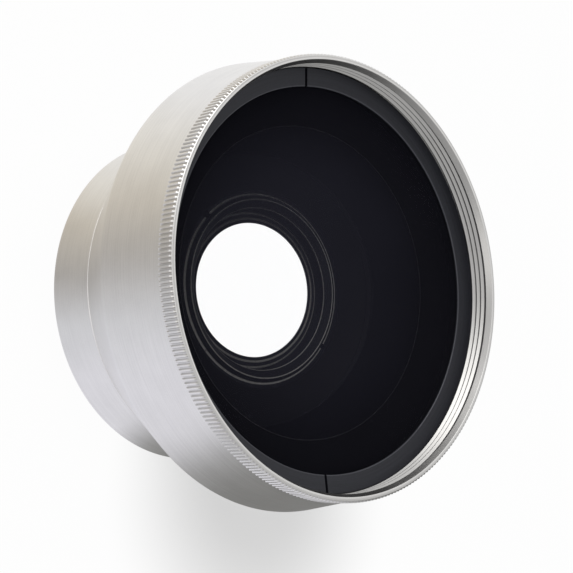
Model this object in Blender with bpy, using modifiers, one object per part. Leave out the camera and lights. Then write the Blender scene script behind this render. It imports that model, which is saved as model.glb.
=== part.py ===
"""Wide-angle conversion lens in two screwed sections, standing on its rear mount thread.

The optical axis is +Z and the front glass looks up. Sizes below are in millimetres, radii and
heights from the rear end of the mount thread; mm() turns them into metres where a mesh is made.
"""

import math

import bmesh
import bpy
from mathutils import Matrix

MM = 0.001
CLEARANCE = 0.3

# Whole lens, and how finely its round pieces are turned
HEIGHT = 34.6
BARREL_STEPS = 100
TUBE_STEPS = 60
INNER_STEPS = 48

# Front glass: a deep negative meniscus with a flat rear rim
GLASS_RADIUS = 24.6
FRONT_CURVE = 70.0
REAR_CURVE = 23.1
REAR_BOWL_RADIUS = 18.35
FRONT_CENTRE_THICKNESS = 1.5

# Front retaining ring, dished, with two spanner slots; depths are below the rim
RING_DEPTH = 2.8
RING_DISH = 0.65
RING_FACE_WIDTH = 2.15
RING_INNER_WALL = 0.65
RING_HEIGHT = 2.3
SLOT_WIDTH = 0.4
SLOT_DEPTH = 0.55
SLOT_ANGLES = (176.7, -11.6)

# Rim: lip, entry to the filter thread and fine straight knurl
THREAD_SHELF = 0.95
LIP_WALL = 0.95
LIP_FLAT = 0.4
LIP_DROP = 0.2
RIM_CHAMFER = 0.3
ENTRY_STEP = 0.25
ENTRY_CHAMFER = 0.15
ENTRY_CHAMFER_DEPTH = 0.4
LAND_DEPTH = 0.9
KNURL_HEIGHT = 1.9
KNURL_GROOVES = 300
KNURL_PROUD = 0.15
GROOVE_DEPTH = 0.22
GROOVE_FILL = 0.8
GROOVE_OVERRUN = 0.04

# Barrel: it flares to the rear and then closes in a cone
BARREL_FLARE = 1.15
FOOT_DEPTH = 11.5
FOOT_ROUND = 0.5
FOOT_BLUNT = 0.12

# Mount ring with the male thread that goes into the camera lens
MOUNT_RADIUS = 18.45
MOUNT_THREAD_LENGTH = 3.8
MOUNT_WALL = 1.85
MOUNT_LIP = 1.6
MOUNT_LIP_HEIGHT = 1.3
MOUNT_EDGE = 0.35

# Tube of the macro section, its joining thread and the plain neck above it
FLANGE_WIDTH = 2.15
TUBE_LENGTH = 7.1
TUBE_EDGE = 0.15
JOINT_STEP = 1.6
JOINT_THREAD_LENGTH = 3.7
NECK_STEP = 1.4
NECK_WALL = 1.6
NECK_LENGTH = 1.15

# Macro retaining ring, dished like the front one
MACRO_RING_FLAT = 1.1
MACRO_RING_DISH = 1.35
MACRO_RING_OPENING = 13.0
MACRO_RING_WALL = 0.3
MACRO_SLOT_WIDTH = 1.0
MACRO_SLOT_DEPTH = 0.7
MACRO_SLOT_ANGLES = (40.0, 220.0)

# Macro glasses, the spacer between them and the ledge that they sit on, which is also the stop
MACRO_HOLLOW = 160.0
MIDDLE_GLASS_CURVE = 52.0
MIDDLE_GLASS_EDGE = 0.9
SPACER_HEIGHT = 0.5
SPACER_WIDTH = 2.2
REAR_GLASS_CURVE = 80.0
REAR_GLASS_EDGE = 0.9
STOP_RADIUS = 10.7
STOP_EDGE = 0.3
LEDGE_HEIGHT = 1.6

# Light baffle: a black funnel between the front glass and the macro section
BAFFLE_TOP_RADIUS = 18.9
BAFFLE_BOTTOM_RADIUS = 15.5
BAFFLE_RADIUS = 21.3

SMOOTH_ANGLE = 30.0

# Heights and radii that follow from the sizes above
KNURL_BOTTOM = HEIGHT - RIM_CHAMFER - KNURL_HEIGHT
FOOT_HEIGHT = HEIGHT - FOOT_DEPTH
RING_TOP = HEIGHT - RING_DEPTH
RING_BOTTOM = RING_TOP - RING_HEIGHT
RING_INNER_TOP = RING_TOP - RING_DISH
PARTING_HEIGHT = MOUNT_THREAD_LENGTH + TUBE_LENGTH
JOINT_THREAD_TOP = PARTING_HEIGHT + JOINT_THREAD_LENGTH
NECK_TOP = JOINT_THREAD_TOP + NECK_LENGTH

GLASS_BORE = GLASS_RADIUS + CLEARANCE
FILTER_BORE = GLASS_BORE + THREAD_SHELF
LIP_RADIUS = FILTER_BORE + LIP_WALL
KNURL_RADIUS = LIP_RADIUS + RIM_CHAMFER
BARREL_TOP_RADIUS = KNURL_RADIUS - KNURL_PROUD
BARREL_FOOT_RADIUS = BARREL_TOP_RADIUS + BARREL_FLARE
RING_RADIUS = FILTER_BORE - CLEARANCE
RING_OPENING = RING_RADIUS - RING_FACE_WIDTH

TUBE_RADIUS = MOUNT_RADIUS + CLEARANCE + FLANGE_WIDTH
JOINT_THREAD_RADIUS = TUBE_RADIUS - JOINT_STEP
NECK_RADIUS = JOINT_THREAD_RADIUS - NECK_STEP
MACRO_BORE = NECK_RADIUS - NECK_WALL
MACRO_GLASS_RADIUS = MACRO_BORE - CLEARANCE


def mm(value):
    return value * MM


def clear_scene():
    for item in list(bpy.data.objects):
        bpy.data.objects.remove(item, do_unlink=True)


def make_collection(name):
    group = bpy.data.collections.new(name)
    bpy.context.scene.collection.children.link(group)
    return group


def make_material(name, colour, metallic, roughness, transmission=0.0, ior=1.5):
    material = bpy.data.materials.new(name)
    material.use_nodes = True
    shader = material.node_tree.nodes["Principled BSDF"]
    shader.inputs["Base Color"].default_value = (*colour, 1.0)
    shader.inputs["Metallic"].default_value = metallic
    shader.inputs["Roughness"].default_value = roughness
    shader.inputs["Transmission Weight"].default_value = transmission
    shader.inputs["IOR"].default_value = ior
    material.diffuse_color = (*colour, 1.0)
    return material


def select_only(item):
    for other in bpy.context.selected_objects:
        other.select_set(False)
    item.select_set(True)
    bpy.context.view_layer.objects.active = item


def apply_modifiers(item):
    """Make every modifier on the piece final, in order."""
    select_only(item)
    for modifier in list(item.modifiers):
        bpy.ops.object.modifier_apply(modifier=modifier.name)


def smooth(item):
    select_only(item)
    bpy.ops.object.shade_smooth()
    item.data.set_sharp_from_angle(angle=math.radians(SMOOTH_ANGLE))


def turned(name, outline, closed, steps, group, material):
    """Turn an outline of (radius, height) about Z; its origin is on the axis at its lowest point."""
    base = min(height for radius, height in outline)
    corners = [(mm(radius), 0.0, mm(height - base)) for radius, height in outline]
    edges = [(index, index + 1) for index in range(len(corners) - 1)]
    if closed:
        edges.append((len(corners) - 1, 0))
    mesh = bpy.data.meshes.new(name)
    mesh.from_pydata(corners, edges, [])
    item = bpy.data.objects.new(name, mesh)
    item.location = (0.0, 0.0, mm(base))
    group.objects.link(item)
    screw = item.modifiers.new("turn", "SCREW")
    screw.axis = "Z"
    screw.steps = steps
    screw.render_steps = steps
    screw.use_merge_vertices = True
    screw.merge_threshold = 0.00001
    mesh.materials.append(material)
    apply_modifiers(item)
    return item


def box_cutter(name, size, centre, turn, group):
    """A box, its centre given before it is turned about the lens axis by an angle in degrees."""
    bpy.ops.mesh.primitive_cube_add(size=1.0)
    cutter = bpy.context.active_object
    cutter.name = name
    cutter.scale = [mm(side) for side in size]
    angle = math.radians(turn)
    reach, height = centre
    cutter.location = (mm(reach) * math.cos(angle), mm(reach) * math.sin(angle), mm(height))
    cutter.rotation_euler = (0.0, 0.0, angle)
    for owner in list(cutter.users_collection):
        owner.objects.unlink(cutter)
    group.objects.link(cutter)
    cutter.hide_render = True
    cutter.display_type = "WIRE"
    return cutter


def cut(item, cutter):
    boolean = item.modifiers.new("cut " + cutter.name, "BOOLEAN")
    boolean.operation = "DIFFERENCE"
    boolean.solver = "EXACT"
    boolean.object = cutter
    bpy.context.view_layer.update()
    apply_modifiers(item)


def sag(curve, radius):
    """How far a spherical face falls from its top at a given radius."""
    return curve - math.sqrt(curve * curve - radius * radius)


def dome(curve, outer, top, segments):
    """Points of a dome from the axis to its outer radius."""
    points = []
    for index in range(segments + 1):
        radius = outer * index / segments
        points.append((radius, top - sag(curve, radius)))
    return points


def groove_cutter(group):
    """All grooves of the knurl as one object: a three-sided bar, spun round the axis."""
    pitch = 2.0 * math.pi / KNURL_GROOVES
    depth = GROOVE_DEPTH + GROOVE_OVERRUN
    half_width = 0.5 * KNURL_RADIUS * pitch * GROOVE_FILL * depth / GROOVE_DEPTH
    length = HEIGHT + 1.0 - KNURL_BOTTOM
    form = bmesh.new()
    bar = bmesh.ops.create_cone(
        form, cap_ends=True, segments=3, radius1=1.0, radius2=1.0, depth=mm(length)
    )["verts"]
    bmesh.ops.rotate(form, verts=bar, matrix=Matrix.Rotation(0.5 * math.pi, 3, "Z"))
    inner = min(corner.co.x for corner in bar)
    outer = max(corner.co.x for corner in bar)
    side = max(corner.co.y for corner in bar)
    for corner in bar:
        along = (corner.co.x - inner) / (outer - inner)
        corner.co.x = mm(KNURL_RADIUS - GROOVE_DEPTH + along * depth)
        corner.co.y = mm(half_width) * corner.co.y / side
        corner.co.z += mm(KNURL_BOTTOM + 0.5 * length)
    bmesh.ops.rotate(form, verts=bar, matrix=Matrix.Rotation(0.5 * pitch, 3, "Z"))
    bmesh.ops.spin(
        form,
        geom=form.verts[:] + form.edges[:] + form.faces[:],
        axis=(0.0, 0.0, 1.0),
        angle=2.0 * math.pi - pitch,
        steps=KNURL_GROOVES - 1,
        use_duplicate=True,
    )
    mesh = bpy.data.meshes.new("knurl_cutter")
    form.to_mesh(mesh)
    form.free()
    cutter = bpy.data.objects.new("knurl_cutter", mesh)
    cutter.hide_render = True
    cutter.display_type = "WIRE"
    group.objects.link(cutter)
    return cutter


def front_glass_top():
    """Height of the middle of the front glass, which lies under the retaining ring's inner edge."""
    rim = RING_INNER_TOP - RING_INNER_WALL - CLEARANCE
    return rim + sag(FRONT_CURVE, RING_OPENING)


def front_glass_bottom():
    hollow = front_glass_top() - FRONT_CENTRE_THICKNESS
    return hollow - sag(REAR_CURVE, REAR_BOWL_RADIUS)


def macro_stack():
    """Heights of the macro glasses' parts, worked down from the retaining ring to the ledge."""
    ring_under = NECK_TOP - MACRO_RING_DISH - MACRO_RING_WALL
    middle_top = ring_under - CLEARANCE + sag(MIDDLE_GLASS_CURVE, MACRO_RING_OPENING)
    middle_rim = middle_top - sag(MIDDLE_GLASS_CURVE, MACRO_GLASS_RADIUS)
    middle_bottom = middle_rim - MIDDLE_GLASS_EDGE
    spacer_top = middle_bottom - CLEARANCE
    spacer_bottom = spacer_top - SPACER_HEIGHT
    rear_rim = spacer_bottom - CLEARANCE
    rear_bottom = rear_rim - REAR_GLASS_EDGE
    return {
        "ring_under": ring_under,
        "middle_rim": middle_rim,
        "middle_bottom": middle_bottom,
        "spacer_top": spacer_top,
        "spacer_bottom": spacer_bottom,
        "rear_bottom": rear_bottom,
        "ledge_top": rear_bottom - CLEARANCE,
        "ledge_bottom": rear_bottom - CLEARANCE - LEDGE_HEIGHT,
    }


def front_barrel(parts, cutters, material):
    glass_seat = front_glass_bottom() - CLEARANCE
    thread_floor = RING_BOTTOM - CLEARANCE
    entry = FILTER_BORE + ENTRY_STEP
    lip_inner = HEIGHT - LIP_DROP
    joint_bore = JOINT_THREAD_RADIUS + CLEARANCE
    joint_top = JOINT_THREAD_TOP + CLEARANCE
    neck_bore = NECK_RADIUS + CLEARANCE
    baffle_seat = NECK_TOP + CLEARANCE
    baffle_bore = BAFFLE_RADIUS + CLEARANCE
    flare = BARREL_FLARE / (KNURL_BOTTOM - FOOT_HEIGHT)
    lean = (BARREL_FOOT_RADIUS - TUBE_RADIUS) / (FOOT_HEIGHT - PARTING_HEIGHT)
    outline = [
        (LIP_RADIUS - LIP_FLAT, HEIGHT),
        (LIP_RADIUS, HEIGHT),
        (KNURL_RADIUS, HEIGHT - RIM_CHAMFER),
        (KNURL_RADIUS, KNURL_BOTTOM),
        (BARREL_TOP_RADIUS, KNURL_BOTTOM - 0.5 * KNURL_PROUD),
        (BARREL_FOOT_RADIUS - flare * FOOT_ROUND, FOOT_HEIGHT + FOOT_ROUND),
        (BARREL_FOOT_RADIUS - FOOT_BLUNT, FOOT_HEIGHT),
        (BARREL_FOOT_RADIUS - lean * FOOT_ROUND, FOOT_HEIGHT - FOOT_ROUND),
        (TUBE_RADIUS + lean * CLEARANCE, PARTING_HEIGHT + CLEARANCE),
        (joint_bore, PARTING_HEIGHT + CLEARANCE),
        (joint_bore, joint_top),
        (neck_bore, joint_top),
        (neck_bore, baffle_seat),
        (baffle_bore, baffle_seat),
        (baffle_bore, glass_seat),
        (GLASS_BORE, glass_seat),
        (GLASS_BORE, thread_floor),
        (FILTER_BORE, thread_floor),
        (FILTER_BORE, HEIGHT - LAND_DEPTH),
        (entry - ENTRY_CHAMFER, HEIGHT - LAND_DEPTH + ENTRY_CHAMFER),
        (entry - ENTRY_CHAMFER, lip_inner - ENTRY_CHAMFER_DEPTH),
        (entry, lip_inner),
    ]
    barrel = turned("front_barrel", outline, True, BARREL_STEPS, parts, material)
    cut(barrel, groove_cutter(cutters))
    smooth(barrel)
    return barrel


def front_retaining_ring(parts, cutters, material):
    under = RING_INNER_TOP - RING_INNER_WALL
    fall = sag(FRONT_CURVE, GLASS_BORE) - sag(FRONT_CURVE, RING_OPENING)
    outline = [
        (RING_RADIUS, RING_TOP),
        (RING_RADIUS, RING_BOTTOM),
        (GLASS_BORE, RING_BOTTOM),
        (GLASS_BORE, under - fall),
        (RING_OPENING, under),
        (RING_OPENING, RING_INNER_TOP),
    ]
    ring = turned("front_retaining_ring", outline, True, BARREL_STEPS, parts, material)
    middle = 0.5 * (RING_RADIUS + RING_OPENING)
    length = RING_FACE_WIDTH + 2.0 * CLEARANCE
    for number, angle in enumerate(SLOT_ANGLES):
        size = (length, SLOT_WIDTH, RING_HEIGHT)
        height = RING_INNER_TOP - SLOT_DEPTH + 0.5 * RING_HEIGHT
        cut(ring, box_cutter(f"slot_cutter_{number}", size, (middle, height), angle, cutters))
    smooth(ring)
    return ring


def front_element(parts, material):
    top = front_glass_top()
    hollow = top - FRONT_CENTRE_THICKNESS
    outline = dome(FRONT_CURVE, GLASS_RADIUS, top, 6)
    outline.append((GLASS_RADIUS, front_glass_bottom()))
    bowl = []
    for index in range(9):
        radius = REAR_BOWL_RADIUS * math.sin(0.5 * math.pi * index / 8.0)
        bowl.append((radius, hollow - sag(REAR_CURVE, radius)))
    outline.extend(reversed(bowl))
    glass = turned("front_element", outline, False, INNER_STEPS, parts, material)
    smooth(glass)
    return glass


def light_baffle(parts, material):
    bottom = NECK_TOP + 2.0 * CLEARANCE
    top = front_glass_bottom() - 2.0 * CLEARANCE
    outline = [
        (BAFFLE_RADIUS, top),
        (BAFFLE_RADIUS, bottom),
        (BAFFLE_BOTTOM_RADIUS, bottom),
        (BAFFLE_TOP_RADIUS, top),
    ]
    baffle = turned("light_baffle", outline, True, INNER_STEPS, parts, material)
    smooth(baffle)
    return baffle


def macro_barrel(parts, material):
    stack = macro_stack()
    ledge_top = stack["ledge_top"]
    ledge_bottom = stack["ledge_bottom"]
    mount_bore = MOUNT_RADIUS + CLEARANCE
    mount_opening = MOUNT_RADIUS - MOUNT_WALL - MOUNT_LIP
    outline = [
        (NECK_RADIUS, NECK_TOP),
        (NECK_RADIUS, JOINT_THREAD_TOP),
        (JOINT_THREAD_RADIUS, JOINT_THREAD_TOP),
        (JOINT_THREAD_RADIUS, PARTING_HEIGHT),
        (TUBE_RADIUS - TUBE_EDGE, PARTING_HEIGHT),
        (TUBE_RADIUS, PARTING_HEIGHT - TUBE_EDGE),
        (TUBE_RADIUS, MOUNT_THREAD_LENGTH + TUBE_EDGE),
        (TUBE_RADIUS - TUBE_EDGE, MOUNT_THREAD_LENGTH),
        (mount_bore, MOUNT_THREAD_LENGTH),
        (mount_bore, ledge_bottom),
        (mount_opening, ledge_bottom),
        (STOP_RADIUS, ledge_top - STOP_EDGE),
        (STOP_RADIUS, ledge_top),
        (MACRO_BORE, ledge_top),
        (MACRO_BORE, NECK_TOP),
    ]
    barrel = turned("macro_barrel", outline, True, TUBE_STEPS, parts, material)
    smooth(barrel)
    return barrel


def lens_outline(bottom, rim, front_curve):
    """Outline of a macro glass: domed in front, slightly hollow behind."""
    front_top = rim + sag(front_curve, MACRO_GLASS_RADIUS)
    rear_top = bottom + sag(MACRO_HOLLOW, MACRO_GLASS_RADIUS)
    outline = dome(front_curve, MACRO_GLASS_RADIUS, front_top, 5)
    outline.extend(reversed(dome(MACRO_HOLLOW, MACRO_GLASS_RADIUS, rear_top, 3)))
    return outline


def macro_glasses(parts, cutters, glass, black):
    """The two macro glasses, the spacer between them and the slotted ring that holds them."""
    stack = macro_stack()
    rear_bottom = stack["rear_bottom"]
    outline = lens_outline(rear_bottom, rear_bottom + REAR_GLASS_EDGE, REAR_GLASS_CURVE)
    rear = turned("macro_rear_glass", outline, False, INNER_STEPS, parts, glass)
    opening = MACRO_GLASS_RADIUS - SPACER_WIDTH
    rise = sag(REAR_GLASS_CURVE, MACRO_GLASS_RADIUS) - sag(REAR_GLASS_CURVE, opening)
    outline = [
        (MACRO_GLASS_RADIUS, stack["spacer_top"]),
        (MACRO_GLASS_RADIUS, stack["spacer_bottom"]),
        (opening, stack["spacer_bottom"] + rise),
        (opening, stack["spacer_top"]),
    ]
    spacer = turned("macro_spacer_ring", outline, True, INNER_STEPS, parts, black)
    outline = lens_outline(stack["middle_bottom"], stack["middle_rim"], MIDDLE_GLASS_CURVE)
    middle = turned("macro_front_glass", outline, False, INNER_STEPS, parts, glass)
    outline = [
        (MACRO_GLASS_RADIUS, NECK_TOP),
        (MACRO_GLASS_RADIUS, stack["middle_rim"] + CLEARANCE),
        (MACRO_RING_OPENING, stack["ring_under"]),
        (MACRO_RING_OPENING, NECK_TOP - MACRO_RING_DISH),
        (MACRO_GLASS_RADIUS - MACRO_RING_FLAT, NECK_TOP),
    ]
    ring = turned("macro_retaining_ring", outline, True, INNER_STEPS, parts, black)
    height = NECK_TOP - MACRO_SLOT_DEPTH + 0.5 * MACRO_RING_DISH
    middle_radius = MACRO_GLASS_RADIUS - 0.5 * MACRO_RING_FLAT
    for number, angle in enumerate(MACRO_SLOT_ANGLES):
        size = (MACRO_RING_FLAT + 2.0 * CLEARANCE, MACRO_SLOT_WIDTH, MACRO_RING_DISH)
        centre = (middle_radius, height)
        cut(ring, box_cutter(f"macro_slot_cutter_{number}", size, centre, angle, cutters))
    for item in (rear, spacer, middle, ring):
        smooth(item)


def mount_ring(parts, material):
    top = macro_stack()["ledge_bottom"] - CLEARANCE
    bore = MOUNT_RADIUS - MOUNT_WALL
    opening = bore - MOUNT_LIP
    lip_bottom = top - MOUNT_LIP_HEIGHT
    outline = [
        (MOUNT_RADIUS, top),
        (MOUNT_RADIUS, MOUNT_EDGE),
        (MOUNT_RADIUS - MOUNT_EDGE, 0.0),
        (bore, 0.0),
        (bore, lip_bottom),
        (opening, lip_bottom),
        (opening, top),
    ]
    ring = turned("mount_ring", outline, True, TUBE_STEPS, parts, material)
    smooth(ring)
    return ring


def main():
    clear_scene()
    parts = make_collection("parts")
    cutters = make_collection("cutters")
    silver = make_material("satin_aluminium", (0.72, 0.71, 0.69), 1.0, 0.35)
    silver_tube = make_material("satin_aluminium_tube", (0.70, 0.69, 0.67), 1.0, 0.35)
    black = make_material("black_anodised", (0.03, 0.03, 0.032), 0.3, 0.5)
    baffle_black = make_material("black_paint", (0.015, 0.015, 0.016), 0.0, 0.7)
    ring_black = make_material("black_anodised_inner", (0.025, 0.025, 0.027), 0.3, 0.5)
    mount_black = make_material("black_anodised_mount", (0.035, 0.035, 0.036), 0.4, 0.45)
    glass = make_material("coated_glass", (1.0, 1.0, 1.0), 0.0, 0.0, 1.0, 1.52)
    macro_glass = make_material("macro_glass", (1.0, 1.0, 1.0), 0.0, 0.0, 1.0, 1.52)
    front_barrel(parts, cutters, silver)
    front_retaining_ring(parts, cutters, black)
    front_element(parts, glass)
    light_baffle(parts, baffle_black)
    macro_barrel(parts, silver_tube)
    macro_glasses(parts, cutters, macro_glass, ring_black)
    mount_ring(parts, mount_black)


main()
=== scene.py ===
"""Dressed scene of a wide-angle conversion lens made of two screwed sections.

The lens stands on its rear mount thread with its axis along +Z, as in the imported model. Heights and
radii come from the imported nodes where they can, and mm() turns a size in millimetres into metres.
"""

import math

import bmesh
import bpy
from bpy.props import (
    FloatProperty,
    FloatVectorProperty,
    IntProperty,
    PointerProperty,
)
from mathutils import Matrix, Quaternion, Vector


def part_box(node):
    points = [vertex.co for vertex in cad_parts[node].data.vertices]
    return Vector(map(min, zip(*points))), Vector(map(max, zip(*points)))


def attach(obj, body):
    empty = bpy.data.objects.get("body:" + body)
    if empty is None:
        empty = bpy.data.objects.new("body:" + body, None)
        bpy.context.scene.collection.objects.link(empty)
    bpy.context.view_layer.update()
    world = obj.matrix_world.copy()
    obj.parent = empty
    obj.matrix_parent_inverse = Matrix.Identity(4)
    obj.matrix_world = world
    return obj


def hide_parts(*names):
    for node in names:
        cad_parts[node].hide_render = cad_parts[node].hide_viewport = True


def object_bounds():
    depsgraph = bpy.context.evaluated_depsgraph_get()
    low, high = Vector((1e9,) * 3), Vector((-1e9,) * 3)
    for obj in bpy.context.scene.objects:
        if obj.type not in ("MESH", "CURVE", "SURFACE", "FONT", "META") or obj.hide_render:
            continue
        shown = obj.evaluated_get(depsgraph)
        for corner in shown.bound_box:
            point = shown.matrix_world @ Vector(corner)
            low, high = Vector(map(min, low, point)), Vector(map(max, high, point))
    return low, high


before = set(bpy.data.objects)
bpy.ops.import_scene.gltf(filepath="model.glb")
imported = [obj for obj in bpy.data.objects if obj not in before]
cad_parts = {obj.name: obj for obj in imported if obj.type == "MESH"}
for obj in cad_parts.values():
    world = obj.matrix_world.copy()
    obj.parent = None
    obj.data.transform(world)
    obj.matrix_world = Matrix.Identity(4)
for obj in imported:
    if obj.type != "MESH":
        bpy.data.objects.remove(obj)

bl_info = {
    "name": "Wide-Angle Conversion Lens",
    "version": (1, 0, 0),
    "blender": (4, 5, 0),
    "location": "3D View > Sidebar > Lens",
    "description": "Turned, knurled and threaded pieces of a two-section conversion lens",
    "category": "Object",
}

CAD_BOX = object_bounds()


def mm(value):
    """Metres from millimetres."""
    return value * 0.001


def in_mm(value):
    """Millimetres from metres, as the materials read places and sizes."""
    return value * 1000.0


# A hair's breadth, which keeps two edges or two tests apart
HAIR = mm(0.01)

# Rim, from the front edge inwards and downwards: the slope inside the lip ends in a small step
LIP_RADIUS = mm(26.8)
LIP_FLAT = mm(0.4)
LIP_SLOPE = mm(0.78)
LIP_STEP = mm(0.1)
RIM_CHAMFER = mm(0.3)
KNURL_HEIGHT = mm(1.9)
KNURL_PROUD = mm(0.15)

# Threads: how far a crest of the joint or mount stands off its wall, its width, how deep its foot is sunk
THREAD_DEPTH = mm(0.42)
THREAD_CREST = mm(0.1)
THREAD_SUNK = mm(0.04)

# Filter thread, which starts and ends at these depths below the lip
FILTER_CREST = mm(26.0)
FILTER_WALL = mm(26.3)
FILTER_THREAD_LOW = mm(4.41)
FILTER_THREAD_HIGH = mm(0.88)

# Barrel and its inner steps
FOOT_DEPTH = mm(11.5)
FOOT_OVERSIZE = mm(0.035)
FOOT_ROUNDING = mm(1.6)
SEAT_CLEARANCE = mm(0.3)
JOINT_RADIUS = mm(19.3)
JOINT_LENGTH = mm(3.7)
JOINT_THREAD_START = mm(0.5)
NECK_THREAD_START = mm(0.3)
NECK_RADIUS = mm(17.9)

# Front retaining ring: its face is screwed a little deeper than the plain solid's
RING_RADIUS = mm(25.98)
RING_SUNK = mm(0.35)
RING_DISH = mm(0.35)
RING_OPENING = mm(23.65)
RING_WALL = mm(0.28)
SLOT_WIDTH = mm(0.38)
SLOT_DEPTH = mm(0.55)
SLOT_ANGLES = (176.7, -11.6)
CUTTER_OVERRUN = mm(0.3)
CUTTER_ABOVE = mm(0.5)

# Glasses: curves of their faces, how far the front one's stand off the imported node, and what is ground flat
FRONT_CURVE = mm(78.0)
REAR_CURVE = mm(23.1)
REAR_BOWL_RADIUS = mm(18.35)
FRONT_CENTRE_THICKNESS = mm(1.5)
BOWL_BEVEL = mm(0.1)
GLASS_RISE = mm(0.2)
BOWL_RISE = mm(0.02)
GLASS_CHAMFER = mm(0.1)
GLASS_STEPS = 40
MACRO_FRONT_CURVE = mm(52.0)
MACRO_REAR_CURVE = mm(80.0)
MACRO_HOLLOW = mm(160.0)
MACRO_GLASS_CHAMFER = mm(0.06)
MACRO_GLASS_STEPS = 24

# Baffle, macro ring, stop and mount ring
BAFFLE_TOP_RADIUS = mm(18.9)
BAFFLE_BOTTOM_RADIUS = mm(15.5)
MACRO_BORE = mm(16.3)
MACRO_RING_FLAT = mm(1.1)
MACRO_RING_DISH = mm(1.35)
MACRO_RING_OPENING = mm(13.0)
MACRO_RING_WALL = mm(0.3)
MACRO_SHOULDER_RADIUS = mm(14.05)
MACRO_SHOULDER_HEIGHT = mm(0.35)
MACRO_SLOT_WIDTH = mm(1.0)
MACRO_SLOT_DEPTH = mm(0.7)
MACRO_SLOT_ANGLES = (40.0, 220.0)
SPACER_WIDTH = mm(2.2)
SPACER_LEAST = mm(0.1)
STOP_RADIUS = mm(10.7)
STOP_EDGE = mm(0.3)
LEDGE_HEIGHT = mm(1.6)
LEDGE_STEPS = (mm(11.35), mm(12.5))
LEDGE_STEP_HEIGHT = mm(0.16)
LEDGE_STEP_SLOPE = mm(0.14)
MOUNT_BORE = mm(16.6)
MOUNT_OPENING = mm(15.0)
MOUNT_LIP_HEIGHT = mm(1.3)
MOUNT_EDGE = mm(0.35)
MOUNT_THREAD_END = mm(0.2)

SMOOTH_ANGLE = math.radians(32.0)

# Painted shade: the filter thread and the slope inside the lip are the barrel's aluminium darkened to this
# share; and the blackened bore against the rings
THREAD_PAINTED_SHADE = 0.62
BORE_TONE = 3.0

# Haze on the front glass, dust on each glass, and what the ground edge of a macro glass is painted
FRONT_VEIL = 0.014
GLASS_DUST = 0.02
MACRO_EDGE_BLACK = (0.01, 0.01, 0.011)

# How bright the backdrop is where a black face behind a glass mirrors it
GHOST_STRENGTH = 0.05

# Patch of painted shade on the floor: there the camera sees less of the floor's white glow, so the paper
# shows greyer, with the lens's real shadow in it. Its middle, how far it reaches, and how much of the floor
# is plain white to the camera there and beyond it
SHADE_CENTRE = (mm(28.0), mm(11.0))
SHADE_REACH = (mm(5.0), mm(27.0))
SHADE_WHITE = (0.4, 0.97)
FLOOR_HALF_WIDTH = 2.0

# Strength of the world as metal mirrors it, from the fill light's side to the key light's, and as light
BACKDROP_MIRRORED = (0.68, 1.02)
BACKDROP_LIGHT = 0.5

# Soft lights: place, width and colour, all aimed at one point
LIGHT_AIM = (0.0, 0.0, mm(20.0))
KEY_LIGHT = ((-0.42, -0.10, 0.30), 0.40, (1.0, 0.985, 0.96))
FILL_LIGHT = ((0.02, -0.48, 0.22), 0.30, (1.0, 0.98, 0.95))

# Painted reflections, what metal mirrors of the table round the lens: the floor glows in these tones for
# blurred glossy rays only, the dark ones standing for the table in shade. Angle about the lens axis, and
# colour
PAINTED_REFLECTION_TONES = (
    (-180.0, (0.97, 0.97, 0.98)),
    (-150.0, (0.88, 0.85, 0.79)),
    (-130.0, (0.66, 0.61, 0.53)),
    (-107.0, (0.46, 0.44, 0.42)),
    (-86.0, (0.74, 0.75, 0.79)),
    (-62.0, (0.86, 0.86, 0.93)),
    (-38.0, (0.84, 0.84, 0.90)),
    (-22.0, (0.34, 0.34, 0.34)),
    (-8.0, (0.23, 0.23, 0.225)),
    (55.0, (0.20, 0.20, 0.195)),
    (85.0, (0.50, 0.50, 0.50)),
    (115.0, (0.97, 0.97, 0.98)),
    (180.0, (0.97, 0.97, 0.98)),
)


def outer(node):
    """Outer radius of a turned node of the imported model."""
    low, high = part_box(node)
    return max(high[0], -low[0])


def top(node):
    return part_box(node)[1][2]


def bottom(node):
    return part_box(node)[0][2]


def sag(curve, radius):
    """How far a spherical face falls from its top at a given radius."""
    return curve - math.sqrt(curve * curve - radius * radius)


def rounded(corners, steps=5):
    """A closed outline from corners of (radius, height) or (radius, height, rounding).

    Each rounding becomes an arc, with a narrow band beside it that keeps the flat faces flat.
    """
    outline = []
    count = len(corners)
    for index, corner in enumerate(corners):
        here = Vector(corner[:2])
        rounding = corner[2] if len(corner) > 2 else 0.0
        if not rounding:
            outline.append(tuple(here))
            continue
        before = Vector(corners[index - 1][:2]) - here
        after = Vector(corners[(index + 1) % count][:2]) - here
        half = 0.5 * before.angle(after)
        reach = rounding / math.tan(half)
        start = here + before.normalized() * reach
        centre = here + (before.normalized() + after.normalized()).normalized() * (rounding / math.sin(half))
        spoke = start - centre
        sweep = math.pi - 2.0 * half
        if before.cross(after) > 0.0:
            sweep = -sweep
        band = min(mm(0.05), 0.3 * (before.length - reach), 0.3 * (after.length - reach))
        outline.append(tuple(start + before.normalized() * band))
        for step in range(steps + 1):
            angle = sweep * step / steps
            turned = Vector((
                spoke.x * math.cos(angle) - spoke.y * math.sin(angle),
                spoke.x * math.sin(angle) + spoke.y * math.cos(angle),
            ))
            outline.append(tuple(centre + turned))
        outline.append(tuple(here + after.normalized() * (reach + band)))
    return outline


def dome(curve, radius, height, steps):
    """Points of a domed face from the axis to its outer radius."""
    points = []
    for step in range(steps + 1):
        reach = radius * step / steps
        points.append((reach, height - sag(curve, reach)))
    return points


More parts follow.
